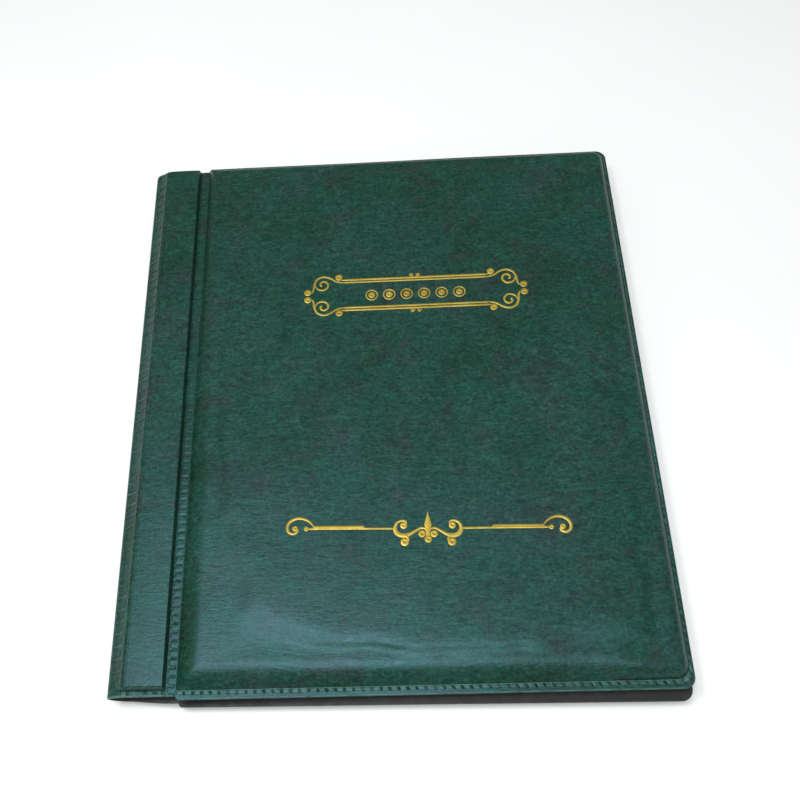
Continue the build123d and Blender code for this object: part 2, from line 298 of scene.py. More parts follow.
class Nodes:
    """A material of nodes, and short names for building it. Noise scales are per metre of the part."""

    def __init__(self, name):
        self.material = bpy.data.materials.new(name)
        self.material.use_nodes = True
        self.tree = self.material.node_tree
        self.shader = self.tree.nodes["Principled BSDF"]
        self.place = self.tree.nodes.new("ShaderNodeTexCoord").outputs["Object"]

    def link(self, output, socket):
        self.tree.links.new(output, socket)

    def stretched(self, x, y, z):
        """The place in the part, scaled along each axis, for noise that is drawn out."""
        mapping = self.tree.nodes.new("ShaderNodeMapping")
        mapping.inputs["Scale"].default_value = (x, y, z)
        self.link(self.place, mapping.inputs["Vector"])
        return mapping.outputs["Vector"]

    def noise(self, scale, detail=3.0, rough=0.55, vector=None, warp=0.0):
        """Cloudy noise from 0 to 1."""
        node = self.tree.nodes.new("ShaderNodeTexNoise")
        node.inputs["Scale"].default_value = scale
        node.inputs["Detail"].default_value = detail
        node.inputs["Roughness"].default_value = rough
        node.inputs["Distortion"].default_value = warp
        self.link(vector or self.place, node.inputs["Vector"])
        return node.outputs["Fac"]

    def cells(self, scale, vector=None):
        """The distance to the nearest edge between cells."""
        node = self.tree.nodes.new("ShaderNodeTexVoronoi")
        node.feature = "DISTANCE_TO_EDGE"
        node.inputs["Scale"].default_value = scale
        self.link(vector or self.place, node.inputs["Vector"])
        return node.outputs["Distance"]

    def ramp(self, value, *stops):
        """Colours along a value; a stop is a place from 0 to 1 and its colour."""
        node = self.tree.nodes.new("ShaderNodeValToRGB")
        ramp = node.color_ramp
        while len(ramp.elements) < len(stops):
            ramp.elements.new(0.5)
        for element, (place, colour) in zip(ramp.elements, stops):
            element.position = place
            element.color = (*colour, 1.0)
        self.link(value, node.inputs["Fac"])
        return node.outputs["Color"]

    def span(self, value, low, high, out_low, out_high):
        """The range low to high, mapped to another range."""
        node = self.tree.nodes.new("ShaderNodeMapRange")
        for socket, number in zip(node.inputs[1:5], (low, high, out_low, out_high)):
            socket.default_value = number
        self.link(value, node.inputs[0])
        return node.outputs[0]

    def blend(self, factor, a, b, mode="MIX"):
        """Colour a with colour b laid over it; each may be a value, a colour or a socket."""
        node = self.tree.nodes.new("ShaderNodeMixRGB")
        node.blend_type = mode
        for socket, source in zip(node.inputs, (factor, a, b)):
            if isinstance(source, (int, float)):
                socket.default_value = source
            elif isinstance(source, tuple):
                socket.default_value = (*source, 1.0)
            else:
                self.link(source, socket)
        return node.outputs[0]

    def bump(self, height, strength, distance, before=None):
        """A bumped normal, on top of the one before it."""
        node = self.tree.nodes.new("ShaderNodeBump")
        node.inputs["Strength"].default_value = strength
        node.inputs["Distance"].default_value = distance
        self.link(height, node.inputs["Height"])
        if before:
            self.link(before, node.inputs["Normal"])
        return node.outputs["Normal"]

    def done(self, colour, roughness, normal=None, **values):
        """Joins everything to the shader and gives back the material."""
        self.link(colour, self.shader.inputs["Base Color"])
        self.link(roughness, self.shader.inputs["Roughness"])
        if normal:
            self.link(normal, self.shader.inputs["Normal"])
        for key, value in values.items():
            self.shader.inputs[key.replace("_", " ")].default_value = value
        return self.material


def leatherette(name):
    """Green grained vinyl: clouds of green and teal, stains, pits, short wrinkles, and a pale green painted
    highlight on edges and raised ridges.
    """
    n = Nodes(name)
    clouds = n.noise(24.0, 5.0, 0.62, warp=0.9)
    colour = n.ramp(
        clouds,
        (0.30, (0.0100, 0.0390, 0.0195)),
        (0.45, (0.0120, 0.0520, 0.0295)),
        (0.56, (0.0140, 0.0615, 0.0400)),
        (0.70, (0.0220, 0.0575, 0.0445)),
    )
    stains = n.noise(80.0, 4.0, 0.65, warp=0.6)
    colour = n.blend(n.span(stains, 0.50, 0.66, 0.0, 0.60), colour, (0.0270, 0.0370, 0.0310))
    colour = n.blend(n.span(stains, 0.47, 0.34, 0.0, 0.60), colour, (0.0085, 0.0640, 0.0390))
    strands = n.noise(430.0, 4.0, 0.65, n.stretched(0.55, 1.3, 1.0), 1.4)
    pits = n.noise(900.0, 3.0, 0.7)
    strand_tones = n.ramp(
        strands,
        (0.30, (0.08, 0.10, 0.10)),
        (0.52, (0.48, 0.48, 0.48)),
        (0.70, (0.95, 0.93, 0.93)),
    )
    colour = n.blend(0.55, colour, strand_tones, "OVERLAY")
    pit_tones = n.ramp(pits, (0.34, (0.10, 0.10, 0.10)), (0.68, (0.90, 0.90, 0.90)))
    colour = n.blend(0.5, colour, pit_tones, "OVERLAY")
    # Painted highlight: a pale green is mixed in where the per-point attribute is high (edges, ridges, stitch
    # rows and rungs where light catches), broken up by noise.
    highlight_attribute = n.tree.nodes.new("ShaderNodeAttribute")
    highlight_attribute.attribute_name = "wear_and_highlight"
    patchy = n.span(n.noise(330.0, 3.0), 0.35, 0.6, 0.35, 1.0)
    painted_highlight = n.blend(1.0, highlight_attribute.outputs["Fac"], patchy, "MULTIPLY")
    colour = n.blend(painted_highlight, colour, (0.150, 0.290, 0.235))
    wrinkles = n.noise(210.0, 3.0, 0.6, n.stretched(0.35, 1.6, 1.0), 1.8)
    normal = n.bump(wrinkles, 0.32, 0.00026)
    normal = n.bump(strands, 0.42, 0.00016, normal)
    normal = n.bump(n.cells(1150.0, n.stretched(0.6, 1.2, 1.0)), 0.25, 0.00010, normal)
    n.shader.inputs["Specular Tint"].default_value = (0.42, 0.80, 1.0, 1.0)
    return n.done(colour, n.span(strands, 0.3, 0.7, 0.31, 0.44), normal, Specular_IOR_Level=0.42)


def black_vinyl(name):
    """The finely grained lining."""
    n = Nodes(name)
    colour = n.ramp(n.noise(60.0, 4.0), (0.35, (0.0075, 0.008, 0.009)), (0.7, (0.0135, 0.014, 0.0155)))
    normal = n.bump(n.cells(1400.0), 0.3, 0.00008)
    return n.done(colour, n.span(n.noise(300.0), 0.3, 0.7, 0.5, 0.66), normal)


def gold_leaf(name):
    """Hot-stamped gold, thinned by use in places so that darker spots show through."""
    n = Nodes(name)
    wear_and_highlight = n.noise(900.0, 4.0, 0.7)
    tone = n.noise(70.0, 2.0)
    colour = n.ramp(tone, (0.38, (0.42, 0.290, 0.036)), (0.62, (0.55, 0.415, 0.066)))
    colour = n.blend(n.span(wear_and_highlight, 0.62, 0.74, 0.0, 0.7), colour, (0.20, 0.14, 0.03))
    normal = n.bump(wear_and_highlight, 0.25, 0.00005)
    return n.done(colour, n.span(wear_and_highlight, 0.3, 0.7, 0.34, 0.55), normal, Metallic=0.55)


def clear_film(name):
    """The clear, slightly hazy film of the leaves."""
    n = Nodes(name)
    haze = n.noise(45.0, 3.0)
    colour = n.ramp(haze, (0.3, (0.66, 0.72, 0.74)), (0.7, (0.80, 0.84, 0.85)))
    normal = n.bump(n.noise(28.0, 2.0), 0.25, 0.0006)
    n.link(n.span(haze, 0.3, 0.7, 0.20, 0.30), n.shader.inputs["Alpha"])
    return n.done(colour, n.span(haze, 0.3, 0.7, 0.10, 0.2), normal)


def weld_film(name):
    """The frosty lines where two films are welded."""
    n = Nodes(name)
    colour = n.ramp(n.noise(800.0), (0.3, (0.60, 0.66, 0.68)), (0.7, (0.74, 0.78, 0.79)))
    n.shader.inputs["Alpha"].default_value = 0.55
    return n.done(colour, n.span(n.noise(500.0), 0.3, 0.7, 0.3, 0.45))


def black_plastic(name):
    """The moulded binding bars."""
    n = Nodes(name)
    colour = n.ramp(n.noise(90.0), (0.3, (0.010, 0.010, 0.011)), (0.7, (0.018, 0.018, 0.020)))
    roughness = n.span(n.noise(700.0), 0.3, 0.7, 0.38, 0.5)
    return n.done(colour, roughness, n.bump(n.noise(1600.0), 0.2, 0.00006))


def brass(name):
    """The brushed screw posts."""
    n = Nodes(name)
    scratches = n.noise(600.0, 4.0, 0.6, n.stretched(6.0, 0.6, 1.0))
    colour = n.ramp(scratches, (0.3, (0.50, 0.34, 0.12)), (0.7, (0.68, 0.49, 0.20)))
    roughness = n.span(scratches, 0.3, 0.7, 0.22, 0.4)
    return n.done(colour, roughness, n.bump(scratches, 0.15, 0.00003), Metallic=1.0)


def grey_board(name):
    """Bookbinding board with short fibres."""
    n = Nodes(name)
    fibres = n.noise(500.0, 5.0, 0.7, n.stretched(1.0, 0.3, 1.0))
    colour = n.ramp(fibres, (0.3, (0.16, 0.145, 0.115)), (0.7, (0.28, 0.255, 0.21)))
    return n.done(colour, n.span(fibres, 0.3, 0.7, 0.8, 0.95), n.bump(fibres, 0.4, 0.00015))


def soft_foam(name):
    """Open foam, with painted shade in its pores."""
    n = Nodes(name)
    pores = n.cells(900.0)
    colour = n.ramp(pores, (0.0, (0.42, 0.39, 0.30)), (0.12, (0.68, 0.65, 0.55)))
    return n.done(colour, n.span(pores, 0.0, 0.3, 0.95, 0.8), n.bump(pores, 0.7, 0.0004))


def pale_floor(name):
    """A white sheet that glows a little, so that it stays near white under soft light."""
    n = Nodes(name)
    colour = n.ramp(n.noise(6.0), (0.3, (0.90, 0.90, 0.90)), (0.7, (0.93, 0.93, 0.93)))
    n.shader.inputs["Emission Color"].default_value = (1.0, 1.0, 1.0, 1.0)
    n.shader.inputs["Emission Strength"].default_value = 0.12
    return n.done(colour, n.span(n.noise(40.0), 0.3, 0.7, 0.75, 0.85))


GREEN = leatherette("green_leatherette")
BLACK = black_vinyl("black_vinyl")
GOLD = gold_leaf("gold_leaf")
FILM = clear_film("clear_film")
WELD = weld_film("weld_film")
PLASTIC = black_plastic("black_plastic")
BRASS = brass("brass")
BOARD = grey_board("grey_board")
FOAM = soft_foam("soft_foam")


# ---------------------------------------------------------------- welded details

def stitch_relief(along, across, depth):
    """Height of the welded imitation stitches: across runs 0 at the outer edge to 1 at the padding."""
    raised = 0.10
    phase = (along / STITCH_PITCH) % 1.0
    tick = band(phase, 0.0, 0.10, 0.22, 0.34)
    row = band(across, 0.50, 0.58, 0.86, 0.94)
    ridge = band(across, 0.90, 0.95, 0.97, 1.0)
    return raised * row - depth * tick * row + raised * ridge


def pillow(distance, x, y):
    """Height of the padding, as a share of its rise, at a distance in from its weld.

    The padding slopes gently at the foot and the groove, and more steeply at the head and fore edge.
    """
    gentle_slope, steep_slope, middle_slope = 9.0, 4.8, 34.0
    edge_share = 0.86
    at_head = smooth_step(0.3, 0.95, y / PANEL_HALF)
    at_fore_edge = 0.85 * smooth_step(FORE_X - 36.0, FORE_X - 12.0, x)
    steep = np.maximum(at_head, at_fore_edge)
    slope = gentle_slope - (gentle_slope - steep_slope) * steep
    edge = 1 - (1 - np.clip(distance / slope, 0.0, 1.0)) ** (2.2 + 0.9 * steep)
    middle = 1 - (1 - np.clip(distance / middle_slope, 0.0, 1.0)) ** 2.2
    return edge_share * edge + (1 - edge_share) * middle


# ---------------------------------------------------------------- padding

def settle_cloth(points):
    """Lets a sheet pinned at its rim swell and crease under pressure, by CLOTH_SWELL at most."""
    frames = 20
    rows, columns = points.shape[:2]
    mesh = bpy.data.meshes.new("cloth_trial")
    mesh.from_pydata((points.reshape(-1, 3) * MM).tolist(), [], grid_faces(rows, columns).tolist())
    trial = bpy.data.objects.new("cloth_trial", mesh)
    bpy.context.scene.collection.objects.link(trial)
    index = np.arange(rows * columns).reshape(rows, columns)
    rim = np.unique(np.concatenate([index[0], index[-1], index[:, 0], index[:, -1]]))
    pins = trial.vertex_groups.new(name="pins")
    pins.add(rim.tolist(), 1.0, "REPLACE")
    cloth = trial.modifiers.new("cloth", "CLOTH")
    settings = cloth.settings
    settings.quality = 6
    settings.mass = 0.25
    settings.tension_stiffness = 18.0
    settings.compression_stiffness = 18.0
    settings.shear_stiffness = 8.0
    settings.bending_stiffness = 0.4
    settings.shrink_min = -0.012
    settings.use_pressure = True
    settings.uniform_pressure_force = 4.0
    settings.vertex_group_mass = "pins"
    settings.effector_weights.gravity = 0.0
    cloth.collision_settings.use_collision = False
    scene = bpy.context.scene
    for step in range(1, frames + 1):
        scene.frame_set(step)
    seen = trial.evaluated_get(bpy.context.evaluated_depsgraph_get())
    result = np.zeros(rows * columns * 3, np.float32)
    seen.data.vertices.foreach_get("co", result)
    bpy.data.objects.remove(trial)
    bpy.data.meshes.remove(mesh)
    scene.frame_set(1)
    moved = result.reshape(points.shape) / MM - points
    moved[..., 2] -= np.median(moved[..., 2])
    length = np.linalg.norm(moved, axis=-1, keepdims=True)
    moved *= CLOTH_SWELL * np.tanh(length / CLOTH_SWELL) / np.maximum(length, 1e-9)
    return points + moved


def pad_surface():
    """The puffed top of a padded panel, with slack round its edge and slow waves over its middle."""
    fine, coarse, fine_width = 0.7, 2.4, 14.0
    xs = clustered(GROOVE_RIGHT, PAD_RIGHT, fine, coarse, fine_width)
    ys = clustered(-PAD_HALF, PAD_HALF, fine, coarse, fine_width)
    x, y = rounded_grid(xs, ys, PAD_GROOVE_CORNER, PAD_CORNER)
    inside = edge_distance(x, y, xs[0], xs[-1], PAD_HALF, PAD_GROOVE_CORNER, PAD_CORNER)
    y += PAD_MIDDLE_Y
    z = FLANGE_Z + PILLOW_RISE * pillow(inside, x, y)
    points = np.stack([x, y, z], axis=-1)
    free = smooth_step(0.0, 12.0, inside)
    swollen = settle_cloth(points)
    points[..., 2] += smoothed(swollen[..., 2] - points[..., 2], 3) * free
    slack = hump(inside, 7.0, 6.0) * free
    points[..., 2] += 0.30 * slack * ripple(x, y, 16.0, 3.1)
    points[..., 2] += 0.16 * free * ripple(x, y, 42.0, 7.7)
    points[..., 2] = CROWN_Z - soft_floor(CROWN_Z - points[..., 2], 0.05)
    return points


def build_pad(side, label, surface):
    """The puffed vinyl over the foam."""
    under = surface.copy()
    under[..., 2] = np.maximum(surface[..., 2] - SKIN, FLANGE_Z - SKIN)
    piece = shell(f"{label}_cover_padded_skin", turned(surface, side), turned(under, side), [GREEN, GREEN])
    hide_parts(f"{label}_cover_skin")
    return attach(piece, f"{label}_cover")


def build_foam(side, label):
    """The foam under the skin: the same pillow, a little smaller, down to the board."""
    fine, coarse, fine_width = 1.2, 4.0, 12.0
    under_skin = 0.75
    inset = board_low[0] - GROOVE_RIGHT + 0.4
    xs = clustered(GROOVE_RIGHT + inset, FORE_X - BORDER - inset, fine, coarse, fine_width)
    half = PANEL_HALF - BORDER - inset
    ys = clustered(-half, half, fine, coarse, fine_width)
    x, y = rounded_grid(xs, ys, PAD_CORNER, PAD_CORNER)
    inside = edge_distance(x, y, xs[0], xs[-1], half, PAD_CORNER, PAD_CORNER)
    floor = board_high[2] + 0.02
    z = FLANGE_Z + PILLOW_RISE * pillow(inside + inset, x, y) - SKIN - under_skin
    z = np.maximum(z, floor + 0.1) + 0.05 * ripple(x, y, 9.0, 4.4)
    top = np.stack([x, y, z], axis=-1)
    bottom = top.copy()
    bottom[..., 2] = floor
    piece = shell(f"{label}_cover_foam_pad", turned(top, side), turned(bottom, side), [FOAM])
    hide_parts(f"{label}_cover_foam")
    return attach(piece, f"{label}_cover")


# ---------------------------------------------------------------- welded border

def edge_slot(side):
    """The cut edges are green on the front cover. On the back cover they are all black: the lining's colour,
    and painted shade where the green vinyl edge lies in the shadow of the front cover.
    """
    return 0 if side > 0 else 1


def outline(x0, x1, half, groove_corner, fore_corner):
    """Points along the foot, fore edge and head of a panel: the same number of them whatever its size."""
    step = 0.4
    along_x = int((FORE_X - GROOVE_RIGHT) / step)
    along_y = int(2 * PANEL_HALF / step)
    arc_steps = 12
    near_left = (x0 + groove_corner, -half + groove_corner)
    near_right = (x1 - fore_corner, -half + fore_corner)

    def arc(centre, radius, first):
        turn = np.radians(first + 90 * np.arange(arc_steps) / arc_steps)
        return np.stack([centre[0] + radius * np.cos(turn), centre[1] + radius * np.sin(turn)], axis=-1)

    def straight(start, end, count):
        t = (np.arange(count) / count)[:, None]
        return np.array(start) * (1 - t) + np.array(end) * t

    far_right = (near_right[0], -near_right[1])
    far_left = (near_left[0], -near_left[1])
    return np.concatenate([
        arc(near_left, groove_corner, 180),
        straight((near_left[0], -half), (near_right[0], -half), along_x),
        arc(near_right, fore_corner, 270),
        straight((x1, near_right[1]), (x1, far_right[1]), along_y),
        arc(far_right, fore_corner, 0),
        straight((far_right[0], half), (far_left[0], half), along_x),
        arc(far_left, groove_corner, 90),
        [(x0, far_left[1])],
    ])


def build_border(side, label):
    """The flat welded edge round the padding, with imitation stitches."""
    outer = outline(GROOVE_RIGHT, FORE_X, PANEL_HALF, GROOVE_CORNER, FORE_CORNER)
    inner = outline(GROOVE_RIGHT, PAD_RIGHT, PAD_HALF, PAD_GROOVE_CORNER, PAD_CORNER) + [0, PAD_MIDDLE_Y]
    steps = np.linalg.norm(np.diff(outer, axis=0), axis=1)
    along = np.concatenate([[0.0], np.cumsum(steps)])[:, None]
    across = np.concatenate([[0.0, 0.03, 0.08, 0.2, 0.35], np.linspace(0.48, 1.0, 20), [1.06]])[None, :]
    xy = outer[:, None, :] * (1 - across[..., None]) + inner[:, None, :] * across[..., None]
    wave = 0.10 * np.sin(along / 17.0) * (1 - across)
    near = near_side(xy[..., 1])
    relief = stitch_relief(along, np.minimum(across, 1.0), BORDER_STITCH * near)
    z = FLANGE_Z - pressed_edge(across, 0.22, 0.08) + relief + wave
    under_padding = FLANGE_Z - 0.3
    z = np.where(across > 1.0, under_padding, z)
    top = np.concatenate([xy, z[..., None]], axis=-1)
    bottom = top.copy()
    bottom[..., 2] = FLANGE_Z - SKIN
    # Painted highlight: pale lines at the rounded outer edge and at the inner ridge, strongest at the foot,
    # and on the raised stitch rows.
    painted_highlight = 0.55 * hump(across, 0.06, 0.06) + 0.7 * hump(across, 0.95, 0.03)
    painted_highlight = painted_highlight * near + 0.25 * smooth_step(0.02, 0.10, relief)
    name = f"{label}_cover_welded_border"
    piece = shell(name, turned(top, side), turned(bottom, side), [GREEN, BLACK], edge_slot(side), painted_highlight)
    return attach(piece, f"{label}_cover")


def build_panel_lining(side, label):
    """The black sheet inside a panel, with the weld line that shows through from the other side."""
    x0 = GROOVE_RIGHT + 0.6
    xs = clustered(x0, FORE_X - 0.05, 0.6, 3.0, 7.0)
    half = PANEL_HALF - 0.05
    ys = clustered(-half, half, 0.6, 3.0, 7.0)
    x, y = rounded_grid(xs, ys, GROOVE_CORNER, FORE_CORNER)
    inside = edge_distance(x, y, x0, FORE_X, half, GROOVE_CORNER, FORE_CORNER)
    weld = band(inside, 0.8, 1.4, 3.2, 4.0)
    z = LINING_Z + 0.14 * weld + 0.03 * ripple(x, y, 22.0, 1.7)
    low = np.stack([x, y, z], axis=-1)
    high = low.copy()
    high[..., 2] = LINING_Z + LINING
    piece = shell(f"{label}_cover_inner_lining", turned(high, side), turned(low, side), [BLACK])
    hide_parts(f"{label}_cover_lining")
    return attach(piece, f"{label}_cover")


# ---------------------------------------------------------------- hinge strip, groove and spine

def strip_end_share(y):
    """How far the strip has risen: it starts past the weld at its foot, and right at its end at the head."""
    from_end = STRIP_HALF - abs(y)
    at_foot = smooth_step(STRIP_END - 0.2, STRIP_END + 1.0, from_end) ** 0.6
    at_head = smooth_step(0.0, 1.5, from_end) ** 0.6
    return np.where(y < 0, at_foot, at_head)


def build_strip(side, label):
    """The flat boarded strip, raised above the welds round it."""
    xs = np.concatenate([
        np.linspace(STRIP_LEFT, STRIP_LEFT + 1.6, 9),
        np.linspace(STRIP_LEFT + 1.9, STRIP_RIGHT - 1.3, 14),
        np.linspace(STRIP_RIGHT - 1.0, STRIP_RIGHT, 8),
    ])
    ys = clustered(-STRIP_HALF, STRIP_HALF, 0.18, 0.9, 4.6)
    x, y = np.meshgrid(xs, ys, indexing="ij")
    from_end = STRIP_HALF - abs(y)
    rise = smooth_step(0.0, 1.0, x - STRIP_LEFT) ** 0.6
    rise *= smooth_step(0.0, 0.55, STRIP_RIGHT - x) ** 0.5
    rise *= strip_end_share(y)
    share = (x - STRIP_LEFT) / (STRIP_RIGHT - STRIP_LEFT)
    soft = 0.10 * ripple(x, y, 26.0, 5.5) + 0.22 * np.sin(math.pi * share)
    z = FLANGE_Z + (STRIP_Z - 0.35 - FLANGE_Z) * rise + soft * rise
    weld = 0.5 + 0.45 * (from_end - 0.6) / (STRIP_END - 0.8)
    z += stitch_relief(x, weld, STRIP_STITCH) * (from_end < STRIP_END) * (y < 0)
    z -= pressed_edge(from_end, 0.25, 0.3)
    top = np.stack([x, y, z], axis=-1)
    bottom = top.copy()
    bottom[..., 2] = np.maximum(z - SKIN, FLANGE_Z - SKIN)
    # Painted highlight along the strip's end, strongest at the foot.
    painted_highlight = 0.8 * hump(from_end, 0.25, 0.25) * near_side(y)
    name = f"{label}_strip_cover"
    piece = shell(name, turned(top, side), turned(bottom, side), [GREEN, BLACK], edge_slot(side), painted_highlight)
    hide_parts(f"{label}_strip_skin")
    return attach(piece, f"{label}_strip")


def build_strip_lining(side, label):
    """The black sheet inside a strip."""
    xs = np.linspace(STRIP_LEFT, STRIP_RIGHT, 12)
    ys = np.linspace(-STRIP_HALF + 0.1, STRIP_HALF - 0.1, 120)
    x, y = np.meshgrid(xs, ys, indexing="ij")
    low = np.stack([x, y, LINING_Z + 0.03 * ripple(x, y, 15.0, 2.2)], axis=-1)
    high = low.copy()
    high[..., 2] = LINING_Z + LINING
    piece = shell(f"{label}_strip_inner_lining", turned(high, side), turned(low, side), [BLACK])
    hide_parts(f"{label}_strip_lining")
    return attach(piece, f"{label}_strip")


def build_groove(side, label):
    """The weld between strip and padding, where the cover bends."""
    xs = np.linspace(STRIP_RIGHT - 0.15, GROOVE_RIGHT + 0.35, 22)
    ys = np.arange(-STRIP_HALF, STRIP_HALF + 0.01, 0.41)
    x, y = np.meshgrid(xs, ys, indexing="ij")
    across = np.clip((x - STRIP_RIGHT) / (GROOVE_RIGHT - STRIP_RIGHT), 0, 1)
    z = FLANGE_Z - 0.25 + stitch_relief(y + STRIP_HALF, 0.42 + 0.58 * across, GROOVE_STITCH * near_side(y))
    z -= pressed_edge(STRIP_HALF - abs(y), 0.2, 0.3)
    top = np.stack([x, y, z], axis=-1)
    bottom = top.copy()
    bottom[..., 2] = LINING_Z - 0.02
    piece = shell(f"{label}_groove_weld", turned(top, side), turned(bottom, side), [GREEN, BLACK])
    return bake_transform(piece)


def build_shoulder(side, label):
    """The ribbed shoulder and half of the spine fold: green outside, black inside.

    Angles run from just past the top of the ellipse, at the strip, to 0 at the middle of the fold.
    """
    steps = [np.linspace(97, 84, 5), np.linspace(82, 24, 26), np.linspace(21, 0, 10)]
    angles = np.radians(np.concatenate(steps))
    ys = np.arange(-STRIP_HALF, STRIP_HALF + 0.01, 0.36)
    angle, y = np.meshgrid(angles, ys, indexing="ij")
    tip = np.array([np.cos(angle), np.sin(angle)])
    normal = np.stack([-tip[0] / SHOULDER_WIDTH, tip[1] / SHOULDER_RISE])
    normal /= np.linalg.norm(normal, axis=0)
    degrees = np.degrees(angle)
    phase = (y / RUNG_PITCH) % 1.0
    rung = 1 - smooth_step(0.0, 0.09, phase) * (1 - smooth_step(0.91, 1.0, phase))
    from_end = STRIP_HALF - abs(y)
    ladder = band(degrees, 28, 34, 76, 82)
    ladder *= smooth_step(STRIP_END, STRIP_END + 0.5, from_end)
    puff = np.sin(math.pi * phase) ** 2 * np.sin(math.pi * np.clip((degrees - 30) / 50, 0, 1)) ** 2
    relief = ladder * (0.20 * rung - (0.34 - 0.16 * puff) * (1 - rung))
    rail = hump(degrees, 84, 3.0)
    relief += 0.05 * rail - pressed_edge(from_end, 0.2, 0.4)
    climb = SHOULDER_CLIMB * smooth_step(48, 97, degrees) * strip_end_share(y)

    def at(depth):
        x = STRIP_LEFT - SHOULDER_WIDTH * tip[0] + normal[0] * depth
        z = MID_Z + SHOULDER_RISE * tip[1] + normal[1] * depth + climb
        return np.stack([x, y, z], axis=-1)

    outside = turned(at(relief), side)
    inside = turned(at(-SKIN - LINING), side)
    # Painted highlight on the rung tops, broken up by noise, and along the ends of the shoulder, strongest at
    # the foot.
    patchy = 0.35 + 0.65 * smooth_step(-0.25, 0.35, ripple(y, degrees / 9.0, 5.0, 8.8))
    painted_highlight = 0.55 * ladder * rung * patchy
    painted_highlight += 0.7 * hump(from_end, 0.3, 0.3) * near_side(y)
    piece = shell(f"{label}_ribbed_shoulder", outside, inside, [GREEN, BLACK], edge_slot(side), painted_highlight)
    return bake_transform(piece)


# ---------------------------------------------------------------- leaves

def build_leaf(number):
    """A clear leaf: a base film, and pocket films with frosty welds between the pockets."""
    sheet_low, sheet_high = box_mm(f"leaf_{number:02d}_sheet")
    margin_right = margins_high[0]
    from_bottom = (LEAVES - number) / (LEAVES - 1)
    margin_z = margins_low[2] + from_bottom * (margins_high[2] - margins_low[2] - 0.16)
    flex = np.linspace(margin_right - 0.2, sheet_low[0], 8)
    xs = np.concatenate([flex, np.linspace(sheet_low[0] + 0.8, sheet_high[0], 112)])
    ys = np.linspace(sheet_low[1], sheet_high[1], 150)
    x, y = np.meshgrid(xs, ys, indexing="ij")
    settle = smooth_step(margin_right - 0.2, sheet_low[0], x)
    z = margin_z + (sheet_low[2] - margin_z) * settle
    low = np.stack([x, y, z], axis=-1)
    width = (sheet_high[0] - sheet_low[0]) / POCKET_COLUMNS
    height = (sheet_high[1] - sheet_low[1]) / POCKET_ROWS
    across = (x - sheet_low[0]) / width
    up = (y - sheet_low[1]) / height
    column_gap = abs(across - np.round(across)) * width
    row_gap = abs(up - np.round(up)) * height
    puff = smooth_step(0.8, 5.0, column_gap) * smooth_step(0.8, 5.0, row_gap) * settle
    high = low.copy()
    high[..., 2] += FILM_THICK + POCKET_PUFF * puff
    piece = shell(f"leaf_{number:02d}_film", high, low, [FILM, FILM, WELD])
    count = (len(xs) - 1) * (len(ys) - 1)
    gaps = np.minimum(column_gap, row_gap)
    mean_gap = (gaps[:-1, :-1] + gaps[1:, :-1] + gaps[1:, 1:] + gaps[:-1, 1:]) / 4
    leaf_only = x[:-1, :-1] > sheet_low[0]
    slots = np.zeros(len(piece.data.polygons), np.int32)
    piece.data.polygons.foreach_get("material_index", slots)
    weld_slot = 2
    slots[:count][((mean_gap < HALF_WELD) & leaf_only).ravel()] = weld_slot
    piece.data.polygons.foreach_set("material_index", slots)
    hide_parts(f"leaf_{number:02d}_sheet", f"leaf_{number:02d}_pockets")
    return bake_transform(piece)


# ---------------------------------------------------------------- gold ornaments

